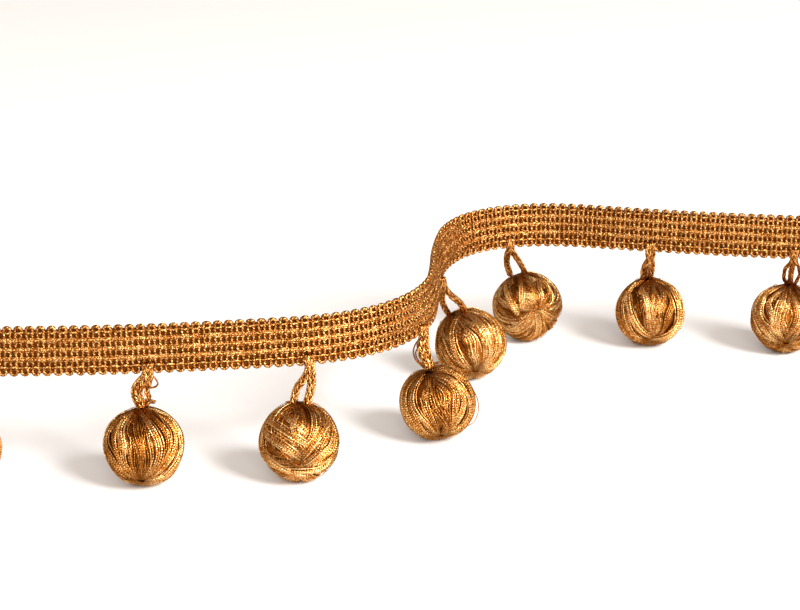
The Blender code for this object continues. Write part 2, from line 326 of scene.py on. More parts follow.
# A thread that stands off a ball
# ball: which ball
# radius: in mm
# points: across, up and towards the front from its middle, in parts of its radius
STRAYS = (
    (
        3,
        0.13,
        ((0.90, 0.36, 0.2), (1.03, 0.08, 0.1), (1.05, -0.22, 0.1), (0.95, -0.48, 0.15), (0.74, -0.62, 0.3)),
    ),
)


class BraidSizes(bpy.types.PropertyGroup):
    height: bpy.props.FloatProperty(
        name="Height",
        description="Height of the braid over its edge loops",
        default=12.7 * MM,
        unit="LENGTH",
    )
    scallop_pitch: bpy.props.FloatProperty(
        name="Loop Spacing",
        description="Distance from one edge loop to the next",
        default=2.683 * MM,
        unit="LENGTH",
    )
    cord_radius: bpy.props.FloatProperty(
        name="Cord Radius",
        description="Radius of the gimp cord that makes the edge loops",
        default=0.34 * MM,
        unit="LENGTH",
    )
    chain_radius: bpy.props.FloatProperty(
        name="Chain Thread Radius",
        description="Radius of the threads stitched along the braid",
        default=0.23 * MM,
        unit="LENGTH",
    )


class LoopSizes(bpy.types.PropertyGroup):
    thread_radius: bpy.props.FloatProperty(
        name="Thread Radius",
        description="Radius of one thread of the hanger loops",
        default=0.20 * MM,
        unit="LENGTH",
    )
    fullness: bpy.props.FloatProperty(
        name="Fullness",
        description="Thickness of the loops' plaits, as a share of their usual one",
        default=1.0,
        min=0.6,
        max=1.4,
    )


class BallSizes(bpy.types.PropertyGroup):
    radius: bpy.props.FloatProperty(
        name="Radius",
        description="Radius of a wound ball over its ribbon",
        default=10.0 * MM,
        unit="LENGTH",
    )
    ribbon_width: bpy.props.FloatProperty(
        name="Ribbon Width",
        description="Width of the ribbon over its beaded edges",
        default=2.70 * MM,
        unit="LENGTH",
    )
    turns: bpy.props.IntProperty(
        name="Turns",
        description="How many turns of ribbon show round a ball",
        default=25,
    )
    hairs: bpy.props.IntProperty(
        name="Fine Threads",
        description="How many fine threads lie across the ribbon's turns",
        default=34,
    )
    stitch: bpy.props.FloatProperty(
        name="Stitch Length",
        description="Distance from one bead of the ribbon's edge to the next",
        default=0.66 * MM,
        unit="LENGTH",
    )


class StageSettings(bpy.types.PropertyGroup):
    floor_colour: bpy.props.FloatVectorProperty(
        name="Floor Colour",
        description="Colour of the floor under the trim",
        default=(0.93, 0.93, 0.925),
        subtype="COLOR",
    )
    key_power: bpy.props.FloatProperty(
        name="Key Power",
        description="Strength of the main soft light",
        default=62.0,
        unit="POWER",
    )
    fill_power: bpy.props.FloatProperty(
        name="Fill Power",
        description="Strength of the soft light behind the camera",
        default=16.0,
        unit="POWER",
    )
    room_light: bpy.props.FloatProperty(
        name="Room Light",
        description="Strength of the even light all round",
        default=0.65,
    )


def follow_run():
    """The braid's middle line as along, x, y and heading, from following its headings."""
    table = np.array(RUN)
    along = np.arange(table[0, 0], table[-1, 0], RUN_STEP)
    heading = np.radians(np.interp(along, table[:, 0], table[:, 1]))
    middle = np.radians(np.interp(along[:-1] + RUN_STEP / 2.0, table[:, 0], table[:, 1]))
    x = np.concatenate([[0.0], np.cumsum(np.cos(middle) * RUN_STEP)])
    y = np.concatenate([[0.0], np.cumsum(np.sin(middle) * RUN_STEP)])
    x += RUN_START[0] - np.interp(0.0, along, x)
    y += RUN_START[1] - np.interp(0.0, along, y)
    return along, x, y, heading


RUN_LINE = follow_run()


def on_braid(along, across, depth):
    """Places in metres from distances along, across and through the braid in mm."""
    line, x, y, heading = RUN_LINE
    angle = np.interp(along, line, heading)
    length = math.sqrt(1.0 + BRAID_LEAN * BRAID_LEAN)
    back = np.stack([-np.sin(angle), np.cos(angle), np.zeros_like(angle)], axis=-1)
    up = np.array([0.0, 0.0, 1.0])
    rise = (back * BRAID_LEAN + up) / length
    through = (back - up * BRAID_LEAN) / length
    place = np.stack([np.interp(along, line, x), np.interp(along, line, y)], axis=-1)
    middle = np.concatenate([place, np.full((len(place), 1), BRAID_MIDDLE)], axis=-1)
    across = np.asarray(across, float)[:, None]
    depth = np.asarray(depth, float)[:, None]
    return (middle + rise * across + through * depth) * MM


def smooth_line(points, count):
    """A smooth line of count points through the given ones."""
    points = np.asarray(points, float)
    step = np.linalg.norm(np.diff(points, axis=0), axis=1)
    place = np.concatenate([[0.0], np.cumsum(step)])
    slopes = np.gradient(points, place, axis=0)
    where = np.linspace(0.0, place[-1], count)
    index = np.clip(np.searchsorted(place, where, side="right") - 1, 0, len(place) - 2)
    span = (place[index + 1] - place[index])[:, None]
    share = (where[:, None] - place[index][:, None]) / span
    square = share * share
    cube = square * share
    start = (2 * cube - 3 * square + 1) * points[index]
    start += (cube - 2 * square + share) * span * slopes[index]
    end = (3 * square - 2 * cube) * points[index + 1]
    end += (cube - square) * span * slopes[index + 1]
    return start + end


def cord(points, radius, tone=0.5, painted_shade=0.0):
    """One cord: its places in metres, its radius in metres at each, how light it is and how much painted
    shade it wears.
    """
    points = np.asarray(points, float)
    length = np.concatenate([[0.0], np.cumsum(np.linalg.norm(np.diff(points, axis=0), axis=1))])
    return {
        "points": points,
        "run": math.tau * length / (PLY_LENGTH * MM),
        "radius": np.broadcast_to(np.asarray(radius, float), (len(points),)),
        "tone": np.broadcast_to(np.asarray(tone, float), (len(points),)),
        "painted_shade": np.broadcast_to(np.asarray(painted_shade, float), (len(points),)),
    }


def keep_values(mesh, name, values):
    """One number at each point of a mesh, for its material."""
    layer = mesh.attributes.new(name, "FLOAT", "POINT")
    layer.data.foreach_set("value", values.astype(np.float32))


def cord_mesh(name, cords, sides):
    """A mesh of round cords with closed ends, and each point's values kept for its material."""
    curve = bpy.data.curves.new(name, "CURVE")
    curve.dimensions = "3D"
    curve.twist_mode = "MINIMUM"
    curve.bevel_depth = MM
    curve.bevel_resolution = sides // 2 - 2
    for item in cords:
        count = len(item["points"])
        spline = curve.splines.new("POLY")
        spline.points.add(count - 1)
        places = np.concatenate([item["points"], np.ones((count, 1))], axis=1)
        spline.points.foreach_set("co", places.astype(np.float32).ravel())
        spline.points.foreach_set("radius", (item["radius"] / MM).astype(np.float32))
        spline.use_smooth = True
    holder = bpy.data.objects.new(name, curve)
    bpy.context.scene.collection.objects.link(holder)
    graph = bpy.context.evaluated_depsgraph_get()
    mesh = bpy.data.meshes.new_from_object(holder.evaluated_get(graph))
    bpy.data.objects.remove(holder)
    bpy.data.curves.remove(curve)
    mesh.name = name
    total = sum(len(item["points"]) for item in cords)
    around = np.tile(math.tau * PLIES * np.arange(sides) / sides, total)
    # Each point keeps its tone, its painted shade and its place along the thread, for the material
    for word in ("tone", "painted_shade", "run"):
        keep_values(mesh, "thread_" + word, np.concatenate([np.repeat(item[word], sides) for item in cords]))
    keep_values(mesh, "thread_ply_x", np.cos(around))
    keep_values(mesh, "thread_ply_y", np.sin(around))
    bm = bmesh.new()
    bm.from_mesh(mesh)
    bmesh.ops.holes_fill(bm, edges=[edge for edge in bm.edges if edge.is_boundary], sides=sides)
    bm.to_mesh(mesh)
    bm.free()
    mesh.shade_smooth()
    return mesh


def place_piece(name, mesh, materials, nodes):
    """Puts a finished mesh in the scene, on the trim's one body."""
    for material in materials:
        mesh.materials.append(material)
    piece = bpy.data.objects.new(name, mesh)
    bpy.context.scene.collection.objects.link(piece)
    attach(piece, "root")
    if nodes:
        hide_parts(*nodes)
    return piece


def node_group(name, inputs, outputs):
    """A shader node group with its named sockets, and its two end nodes."""
    group = bpy.data.node_groups.new(name, "ShaderNodeTree")
    for label, kind, default in inputs:
        socket = group.interface.new_socket(label, in_out="INPUT", socket_type=kind)
        socket.default_value = default
    for label, kind in outputs:
        group.interface.new_socket(label, in_out="OUTPUT", socket_type=kind)
    return group, group.nodes.new("NodeGroupInput"), group.nodes.new("NodeGroupOutput")


def math_node(group, operation, first, second, clamp=False):
    """A maths node fed by sockets or plain numbers."""
    node = group.nodes.new("ShaderNodeMath")
    node.operation = operation
    node.use_clamp = clamp
    for socket, value in zip(node.inputs, (first, second)):
        if isinstance(value, (int, float)):
            socket.default_value = value
        else:
            group.links.new(value, socket)
    return node.outputs[0]


def mix_colours(group, share, first, second):
    """A colour mix fed by sockets."""
    node = group.nodes.new("ShaderNodeMix")
    node.data_type = "RGBA"
    for socket, value in zip((node.inputs[0], node.inputs[6], node.inputs[7]), (share, first, second)):
        group.links.new(value, socket)
    return node.outputs[2]


def spun_thread_group():
    """Metallic thread: uneven gold with bright beads, painted glints, painted light and shade on its beads
    and plies, and painted shade where a thread is buried.
    """
    group, start, end = node_group(
        "spun_thread",
        (
            ("Gold", "NodeSocketColor", (0.7, 0.4, 0.1, 1.0)),
            ("Shade", "NodeSocketColor", (0.3, 0.1, 0.02, 1.0)),
            ("Glint", "NodeSocketColor", (1.0, 0.8, 0.5, 1.0)),
            ("Glint Share", "NodeSocketFloat", 0.3),
            ("Bead Scale", "NodeSocketFloat", 1700.0),
            ("Roughness", "NodeSocketFloat", 0.35),
            ("Twist", "NodeSocketFloat", 0.3),
            ("Grain", "NodeSocketFloat", 1.0),
        ),
        (("Color", "NodeSocketColor"), ("Roughness", "NodeSocketFloat"), ("Height", "NodeSocketFloat")),
    )
    gold_from = 0.30
    glint_from = 0.90
    glint_slope = 2.5
    rough_spread = 0.35
    where = group.nodes.new("ShaderNodeTexCoord")
    beads = group.nodes.new("ShaderNodeTexVoronoi")
    beads.feature = "F1"
    group.links.new(where.outputs["Object"], beads.inputs["Vector"])
    group.links.new(start.outputs["Bead Scale"], beads.inputs["Scale"])
    grain = group.nodes.new("ShaderNodeTexNoise")
    grain.inputs["Detail"].default_value = 2.0
    group.links.new(where.outputs["Object"], grain.inputs["Vector"])
    group.links.new(math_node(group, "MULTIPLY", start.outputs["Bead Scale"], 1.7), grain.inputs["Scale"])
    patches = group.nodes.new("ShaderNodeTexNoise")
    patches.inputs["Scale"].default_value = 420.0
    group.links.new(where.outputs["Object"], patches.inputs["Vector"])
    kept = {}
    for word in ("tone", "painted_shade", "run", "ply_x", "ply_y"):
        node = group.nodes.new("ShaderNodeAttribute")
        node.attribute_name = "thread_" + word
        kept[word] = node.outputs["Fac"]
    # The plies' twist: a bump, and painted lighter on each ply's crown and darker in its grooves, as painted
    # light and shade
    across = math_node(group, "MULTIPLY", math_node(group, "SINE", kept["run"], 0.0), kept["ply_x"])
    down = math_node(group, "MULTIPLY", math_node(group, "COSINE", kept["run"], 0.0), kept["ply_y"])
    ply = math_node(group, "ADD", across, down)
    ply = math_node(group, "MULTIPLY", ply, start.outputs["Twist"])
    # Random grain and bead tones, lighter at each bead's middle and darker at its rim as painted light and
    # shade; the same marks make the bump
    speckle = 0.0
    for part, share in (
        (grain.outputs["Fac"], 1.3),
        (beads.outputs["Color"], 0.5),
        (beads.outputs["Distance"], -0.8),
    ):
        speckle = math_node(group, "ADD", speckle, math_node(group, "MULTIPLY", part, share))
    speckle = math_node(group, "SUBTRACT", speckle, 0.5)
    speckle = math_node(group, "MULTIPLY", speckle, start.outputs["Grain"])
    uneven = math_node(group, "ADD", kept["tone"], speckle)
    uneven = math_node(group, "ADD", uneven, ply)
    uneven = math_node(group, "ADD", uneven, math_node(group, "MULTIPLY", patches.outputs["Fac"], 0.7))
    light = math_node(group, "SUBTRACT", uneven, gold_from, clamp=True)
    colour = mix_colours(group, light, start.outputs["Shade"], start.outputs["Gold"])
    # Painted glints where the thread is lightest
    glint = math_node(group, "SUBTRACT", uneven, glint_from)
    glint = math_node(group, "MULTIPLY", glint, glint_slope, clamp=True)
    glint = math_node(group, "MULTIPLY", glint, start.outputs["Glint Share"])
    colour = mix_colours(group, glint, colour, start.outputs["Glint"])
    # Painted shade where a thread is buried
    colour = mix_colours(group, kept["painted_shade"], colour, start.outputs["Shade"])
    rough = math_node(group, "MULTIPLY", grain.outputs["Fac"], rough_spread)
    rough = math_node(group, "ADD", rough, math_node(group, "SUBTRACT", start.outputs["Roughness"], 0.17))
    height = math_node(group, "MULTIPLY", speckle, 0.5)
    height = math_node(group, "ADD", height, ply)
    group.links.new(colour, end.inputs["Color"])
    group.links.new(rough, end.inputs["Roughness"])
    group.links.new(height, end.inputs["Height"])
    return group


# Finishes of the yarns
# gold, shade, fleck: colours of the thread, of its duller threads and its painted shade, and of its painted
# glints
# share: how much the painted glints show
# beads: how many lie along a metre
# rough, metal: of the whole thread
# relief: height of its beads and plies, in mm
# twist, grain: how much its plies and its beads show, as bumps and in tone, with painted light and shade on
# them
FINISHES = {
    "gimp_thread": (
        ((0.50, 0.182, 0.034), (0.15, 0.043, 0.004), (0.86, 0.52, 0.20)),
        (0.8, 2200.0, 0.30, 1.0, 0.10, 0.45, 1.0),
    ),
    "chain_thread": (
        ((0.54, 0.196, 0.037), (0.15, 0.043, 0.004), (0.90, 0.55, 0.21)),
        (0.9, 2600.0, 0.30, 1.0, 0.10, 0.45, 1.1),
    ),
    "hanger_thread": (
        ((0.70, 0.270, 0.053), (0.15, 0.042, 0.005), (1.0, 0.62, 0.24)),
        (0.9, 2300.0, 0.26, 1.0, 0.05, 0.30, 0.6),
    ),
    "ribbon_thread": (
        ((0.94, 0.366, 0.063), (0.13, 0.034, 0.003), (1.0, 0.78, 0.38)),
        (0.9, 2500.0, 0.26, 1.0, 0.04, 0.20, 0.8),
    ),
    # The inner layers: the ribbon's gold made darker as painted shade under the turns
    "under_thread": (
        ((0.60, 0.215, 0.040), (0.22, 0.062, 0.006), (0.80, 0.42, 0.14)),
        (0.2, 1800.0, 0.45, 1.0, 0.08, 0.0, 1.0),
    ),
    # Dark: painted shade for the holes in the braid
    "ground_thread": (
        ((0.36, 0.108, 0.013), (0.20, 0.055, 0.005), (0.50, 0.210, 0.04)),
        (0.2, 2200.0, 0.60, 0.2, 0.08, 0.0, 1.0),
    ),
}


def thread_material(name):
    """A Principled material that wears the spun thread group with one finish."""
    known = bpy.data.materials.get(name)
    if known:
        return known
    colours, (share, beads, rough, metal, relief, twist, grain) = FINISHES[name]
    group = bpy.data.node_groups.get("spun_thread") or spun_thread_group()
    material = bpy.data.materials.new(name)
    material.use_nodes = True
    tree = material.node_tree
    shader = tree.nodes["Principled BSDF"]
    thread = tree.nodes.new("ShaderNodeGroup")
    thread.node_tree = group
    for label, colour in zip(("Gold", "Shade", "Glint"), colours):
        thread.inputs[label].default_value = (*colour, 1.0)
    labels = ("Glint Share", "Bead Scale", "Roughness", "Twist", "Grain")
    for label, value in zip(labels, (share, beads, rough, twist, grain)):
        thread.inputs[label].default_value = value
    bump = tree.nodes.new("ShaderNodeBump")
    bump.inputs["Distance"].default_value = relief * MM
    tree.links.new(thread.outputs["Height"], bump.inputs["Height"])
    tree.links.new(bump.outputs["Normal"], shader.inputs["Normal"])
    tree.links.new(thread.outputs["Color"], shader.inputs["Base Color"])
    tree.links.new(thread.outputs["Roughness"], shader.inputs["Roughness"])
    shader.inputs["Metallic"].default_value = metal
    shader.inputs["Specular IOR Level"].default_value = 0.1
    shader.inputs["Specular Tint"].default_value = (0.95, 0.75, 0.55, 1.0)
    return material


def unit(vector):
    """Vectors of length 1 in the same directions."""
    vector = np.asarray(vector, float)
    return vector / np.linalg.norm(vector, axis=-1, keepdims=True)


def ball_centre(number):
    """The middle of a ball in mm."""
    along, out = BALLS[number][:2]
    line, x, y = RUN_LINE[:3]
    return np.array([np.interp(along, line, x) + out[0], np.interp(along, line, y) + out[1], BALL_MIDDLE])


def wound_line(neck, eye, start, twist, first, last, count):
    """Directions down one turn, from near the neck to near the eye.

    The turns are spaced evenly round the ball where they pass half way between the two.
    """
    drawn = np.linalg.norm(neck + eye) / 2.0
    axis = unit(neck - eye)
    front = unit(neck + eye)
    side = np.cross(axis, front)
    share = np.linspace(first, last, count)
    latitude = math.pi * (0.5 - share)
    even = start + math.radians(twist) * (share - 0.5) * 2.0
    longitude = 2.0 * np.arctan(math.sqrt((1.0 + drawn) / (1.0 - drawn)) * np.tan(even / 2.0))
    shrink = math.sqrt(1.0 - drawn * drawn)
    up_axis = np.sin(latitude) * shrink
    to_front = np.cos(latitude) * np.cos(longitude) + drawn
    to_side = np.cos(latitude) * np.sin(longitude) * shrink
    line = up_axis[:, None] * axis + to_side[:, None] * side + to_front[:, None] * front
    return share, unit(line)


def stitched(line, stitch, radius):
    """A line of directions laid out again with three places to each stitch."""
    length = np.linalg.norm(np.diff(line, axis=0), axis=1).sum() * radius
    return unit(smooth_line(line, int(length / stitch) * 3 + 1))


def beside(line, offset):
    """A line moved sideways over a unit ball, by an angle at each point."""
    tangent = np.gradient(line, axis=0)
    across = unit(np.cross(line, tangent))
    offset = np.broadcast_to(offset, (len(line),))[:, None]
    return unit(line * np.cos(offset) + across * np.sin(offset))


def on_ball(centre, line, radius):
    """Places in metres on a ball that is a little taller than it is wide."""
    stretch = 1.0 + BALL_STRETCH * line[:, 2] ** 2
    return (centre + line * (np.asarray(radius) * stretch)[:, None]) * MM


def soft_lumps(rng):
    """Directions, heights in mm and places of the soft lumps of one ball."""
    ways = unit(rng.normal(size=(LUMP_COUNT, 3)))
    heights = rng.uniform(*LUMP_HEIGHTS, LUMP_COUNT)
    return ways, heights, rng.uniform(0.0, math.tau, LUMP_COUNT)


def lump_height(line, lumps):
    """How far the ball's surface stands out at each direction, in mm."""
    ways, heights, places = lumps
    return (np.cos(line @ ways.T * LUMP_WAVES + places) * heights).sum(axis=1)


def ribbon_cords(ball, line, narrow, width, lie, shadow, tone, rng):
    """The threads of one ribbon along a line over a ball, three places to each stitch."""
    centre, radius, neck, eye, lumps = ball
    height, tilt = lie
    cords = []
    rise = lump_height(line, lumps) + NECK_RISE * np.clip(line @ neck * 8.0 - 7.0, 0.0, 1.0) ** 2
    near_eye = np.clip(line @ eye * 9.0 - 8.0, 0.0, 1.0)
    near_neck = np.clip(line @ neck * 2.2 - 1.2, 0.0, 1.0)
    step = np.arange(len(line))
    for place, thick, swell in RIBBON_THREADS:
        moved = beside(line, place * width / 2.0 * (0.3 + 0.7 * narrow) / radius)
        lift = (height + tilt * place + RIBBON_CROWN * (1.0 - place * place)) * narrow
        beat = np.cos(math.tau * (step + rng.randint(3)) / 3.0) * rng.uniform(0.5, 1.0, len(line))
        thickness = thick * (1.0 + swell * beat) * (0.6 + 0.4 * narrow)
        points = on_ball(centre, moved, radius - RIBBON_SINK + lift + rise - EYE_DIP * near_eye)
        points[:, 2] = np.maximum(points[:, 2], (thickness + FLOOR_GAP) * MM)
        # The thread's own tone, with a painted highlight on each bead's top and painted shade between beads
        light = tone + rng.uniform(-THREAD_TONES, THREAD_TONES) + (BEAD_LIGHT * beat if swell else 0.0)
        light = np.clip(np.broadcast_to(light, (len(line),)), 0.0, 1.0)
        # Painted shade where the ribbon narrows, at the neck and at the eye, on the dark strips, and on the
        # threads with no beads
        painted_shade = shadow + NARROW_SHADOW * (1.0 - narrow) + NECK_SHADOW * near_neck + EYE_SHADOW * near_eye
        painted_shade = np.clip(painted_shade + (0.0 if swell else PLAIN_SHADOW), 0.0, 1.0)
        if not swell:
            keep = np.unique(np.append(step[::6], step[-1]))
            points, thickness, light, painted_shade = points[keep], thickness[keep], light[keep], painted_shade[keep]
        cords.append(cord(points, thickness * MM, light, painted_shade))
    return cords


def seen_axes(centre):
    """Right, up and towards the camera, as seen by it at a place in mm."""
    toward = unit(np.array(CAMERA_PLACE) - centre)
    right = unit(np.cross((0.0, 0.0, 1.0), toward))
    return np.stack([right, np.cross(toward, right), toward])


def seen_line(centre, points, stitch, radius):
    """A smooth line of directions over a ball through places seen from the front."""
    places = np.array([(x, y, math.sqrt(max(0.0, 1.0 - x * x - y * y))) for x, y in points])
    return stitched(unit(smooth_line(unit(places @ seen_axes(centre)), 40)), stitch, radius)


def under_ball(bm, centre, radius):
    """The inner layers of ribbon that show in the slits, flattened on the floor."""
    made = bmesh.ops.create_icosphere(bm, subdivisions=3, radius=radius * MM)
    bmesh.ops.translate(bm, verts=made["verts"], vec=Vector(centre) * MM)
    for vert in made["verts"]:
        vert.co.z = max(vert.co.z, UNDER_FLOOR_GAP * MM)
    for face in {face for vert in made["verts"] for face in vert.link_faces}:
        face.material_index = 1
        face.smooth = True


def wind_ball(number, sizes):
    """One ball: its turns of ribbon over the layers below."""
    neck, eye, twist = BALLS[number][2:]
    neck = unit(neck)
    eye = unit(eye)
    centre = ball_centre(number)
    rng = np.random.RandomState(40 + number)
    cords = []
    radius = sizes.radius / MM
    stitch = sizes.stitch / MM
    lumps = soft_lumps(rng)
    ball = (centre, radius, neck, eye, lumps)
    for turn in range(sizes.turns):
        start = math.tau * (turn + rng.uniform(-TURN_JITTER, TURN_JITTER)) / sizes.turns - math.pi
        lean = twist + rng.uniform(-TURN_LEAN, TURN_LEAN)
        share, line = wound_line(neck, eye, start, lean, *TURN_ENDS, TURN_POINTS)
        waves = rng.uniform(1.0, 2.4)
        wander = TURN_WANDER * np.sin(math.tau * (share * waves + rng.uniform())) * np.sin(math.pi * share)
        at_ends = np.cos(math.pi * share) ** 2
        wander = wander + rng.uniform(-TURN_END_WANDER, TURN_END_WANDER) * at_ends
        line = stitched(beside(line, wander), stitch, radius)
        nearest = np.minimum(np.arccos(np.clip(line @ neck, -1, 1)), np.arccos(np.clip(line @ eye, -1, 1)))
        narrow = np.clip(nearest / 1.1, 0.05, 1.0) ** 0.6
        swell = np.sin(math.tau * (np.linspace(0.0, waves, len(line)) + rng.uniform()))
        width = sizes.ribbon_width / MM * (rng.uniform(0.85, 1.15) + 0.16 * swell)
        lie = TURN_LIES[(turn + number) % len(TURN_LIES)]
        cords.extend(ribbon_cords(ball, line, narrow, width, lie, 0.0, rng.uniform(*TURN_TONES), rng))
    for owner, width, height, shadow, points in WRAPS:
        if owner == number:
            line = seen_line(centre, points, stitch, radius)
            narrow = np.sin(np.linspace(0.04, math.pi - 0.04, len(line))) ** 0.25
            lie = (height - 0.8 * (1.0 - narrow), 0.1)
            cords.extend(ribbon_cords(ball, line, narrow, width, lie, shadow, WRAP_TONE, rng))
    for hair in range(sizes.hairs):
        start = math.tau * rng.uniform() - math.pi
        first = rng.uniform(0.05, 0.45)
        lean = twist + rng.uniform(-HAIR_LEAN, HAIR_LEAN)
        share, line = wound_line(neck, eye, start, lean, first, first + rng.uniform(0.25, 0.5), 16)
        thick = rng.uniform(*HAIR_RADII)
        points = on_ball(centre, line, radius - HAIR_SINK + lump_height(line, lumps))
        points[:, 2] = np.maximum(points[:, 2], (thick + FLOOR_GAP) * MM)
        cords.append(cord(points, thick * MM, rng.uniform(0.0, 0.8)))
    for owner, thick, points in STRAYS:
        if owner == number:
            line = smooth_line(np.array(points) @ seen_axes(centre), 30)
            cords.append(cord((centre + line * radius) * MM, thick * MM, 0.3))
    mesh = cord_mesh(f"ball_{number}_ribbon", cords, 4)
    bm = bmesh.new()
    bm.from_mesh(mesh)
    under_ball(bm, centre, radius - UNDER_DEPTH)
    bm.to_mesh(mesh)
    bm.free()
    materials = [thread_material("ribbon_thread"), thread_material("under_thread")]
    return place_piece(f"ball_{number}_ribbon", mesh, materials, [f"wound_ball_{number}"])


def weft_cord(sizes):
    """The gimp cord that runs up and down the braid and turns in a loop at each edge."""
    pitch = sizes.scallop_pitch / MM
    half = sizes.height / MM / 2.0
    thick = sizes.cord_radius / MM
    bend = 0.86
    arch_reach = 0.85
    arch_rise = 0.78
    low_swell = 0.07
    bar_swell = 0.06
    rows = []
    top = np.radians(np.linspace(150.0, 0.0, 7))
    low = np.radians(np.linspace(-218.0, 38.0, 10))
    for scallop in range(SCALLOP_COUNT):
        middle = BRAID_FIRST_ALONG + (scallop + 0.5) * pitch
        for share in np.linspace(-0.66, 0.60, 6):
            rows.append((middle - pitch / 4.0, share * half, BAR_DEPTH, thick + bar_swell))
        for angle in top:
            swell = 0.11 + 0.04 * math.cos(angle - 2.2)
            skew = 0.10 * math.sin(angle)
            square = max(0.0, math.sin(angle)) ** 0.75
            along = middle + arch_reach * math.cos(angle) + skew
            rise = half - bend - thick + arch_rise * square
            rows.append((along, rise, -0.25 - 0.30 * math.cos(angle - 0.9), thick + swell))
        for share in np.linspace(0.55, -0.64, 6):
            rows.append((middle + pitch / 4.0, share * half, BAR_DEPTH, thick + bar_swell))
        if scallop == SCALLOP_COUNT - 1:
            break
        for angle in low:
            along = middle + pitch / 2.0 + bend * math.cos(angle)
            rise = -half + bend + thick + low_swell + bend * math.sin(angle)
            rows.append((along, rise, -0.12 - 0.22 * math.sin(angle * 0.5), thick + low_swell))
    table = np.array(rows)
    points = on_braid(table[:, 0], table[:, 1], table[:, 2])
    tone = 0.5 + np.random.RandomState(3).uniform(-0.18, 0.18, len(table))
    return cord(points, table[:, 3] * MM, tone)


def level_cord(along, across, depth, radius, tone):
    """A cord that keeps one height along the braid."""
    points = on_braid(along, np.full(len(along), across), np.broadcast_to(depth, (len(along),)))
    return cord(points, radius * MM, tone)


def chain_cords(sizes, rng):
    """The rows along the braid: threads at both edges of a row, and crossing ones between them."""
    pitch = sizes.scallop_pitch / MM / 2.0
    thick = sizes.chain_radius / MM
    length = SCALLOP_COUNT * 2
    steps = 5
    cords = []
    for across, half in STITCHED_ROWS:
        beat = np.arange(1, length * steps) / steps
        at_bar = np.cos(math.tau * (beat - 0.5))
        at_notch = (0.5 + 0.5 * np.cos(math.pi * beat)) ** 4
        groove = NOTCH_DEPTH * at_notch
        stitch = (beat + 0.5).astype(int)
        for side in (1.0, -1.0):
            edge = half - thick - 0.07 + 0.07 * at_bar
            along = BRAID_FIRST_ALONG + beat * pitch + rng.uniform(-0.05, 0.05, length + 1)[stitch]
            points = on_braid(along, across + side * edge, ROW_DEPTH - 0.08 * at_bar + groove)
            # Painted highlight where the thread stands forward over a bar, and painted shade in the notch,
            # over a random tone for each stitch
            tone = 0.46 + 0.18 * at_bar - NOTCH_PAINTED_DIMMING * at_notch
            tone = tone + rng.uniform(-0.18, 0.18, length + 1)[stitch]
            cords.append(cord(points, thick * MM, np.clip(tone, 0.0, 1.0), NOTCH_SHADOW * at_notch))
        for side in (1.0, -1.0):
            angle = math.pi * (beat + 0.5 * side)
            reach = half - 1.5 * thick
            rise = across + reach * np.sin(angle) + rng.uniform(-0.05, 0.05, length + 1)[stitch]
            depth = CROSSING_DEPTH - 0.12 * side * np.cos(angle) + groove
            points = on_braid(BRAID_FIRST_ALONG + beat * pitch, rise, depth)
            # Painted shade in the notch, over a random tone for each stitch
            tone = 0.54 - NOTCH_PAINTED_DIMMING * at_notch + rng.uniform(-0.30, 0.30, length + 1)[stitch]
            cords.append(cord(points, thick * 0.92 * MM, np.clip(tone, 0.0, 1.0), NOTCH_SHADOW * at_notch))
        back = np.arange(1, length * 2) / 2.0
        along = BRAID_FIRST_ALONG + back * pitch
        cords.append(level_cord(along, across, FILLER_DEPTH, FILLER_RADIUS, 0.50))
        depth = BACK_DEPTH + 0.08 * np.sin(math.pi * back)
        cords.append(level_cord(along, across, depth, BACK_RADIUS, 0.4))
    for across, first, droop, dip in LOOP_TIES:
        beat = np.arange(4, length * 4) / 4.0
        at_loop = np.cos(math.pi * (beat - first))
        depth = TIE_DEPTH + dip * (0.5 - 0.5 * at_loop)
        points = on_braid(BRAID_FIRST_ALONG + beat * pitch, across + droop * at_loop, depth)
        # Painted light where the thread lies over a loop and painted shade where it goes under, over a random
        # tone
        tone = 0.45 + 0.2 * at_loop + rng.uniform(-0.15, 0.15, len(beat))
        cords.append(cord(points, TIE_RADIUS * MM, np.clip(tone, 0.0, 1.0)))
        along = BRAID_FIRST_ALONG + beat[::2] * pitch
        cords.append(level_cord(along, across, BACK_DEPTH, BACK_RADIUS, 0.4))
    return cords


def ground_web(sizes):
    """The flat ground of close threads behind the cords, coloured dark as the painted shade that shows in the
    holes between them.
    """
    columns = SCALLOP_COUNT * 4
    end_inset = 0.4
    edge_inset = 0.9
    bm = bmesh.new()
    made = bmesh.ops.create_grid(bm, x_segments=columns, y_segments=2, size=0.5)
    length = SCALLOP_COUNT * sizes.scallop_pitch / MM - 2.0 * end_inset
    height = sizes.height / MM - 2.0 * edge_inset
    verts = made["verts"]
    flat = np.array([vert.co for vert in verts])
    along = BRAID_FIRST_ALONG + end_inset + (flat[:, 0] + 0.5) * length
    places = on_braid(along, flat[:, 1] * height - 0.15, np.full(len(flat), GROUND_DEPTH))
    for vert, place in zip(verts, places):
        vert.co = place
    bmesh.ops.recalc_face_normals(bm, faces=bm.faces)
    bmesh.ops.solidify(bm, geom=list(bm.faces), thickness=0.25 * MM)
    mesh = bpy.data.meshes.new("braid_ground")
    bm.to_mesh(mesh)
    bm.free()
    mesh.shade_smooth()
    return mesh, (height * MM, length * MM)


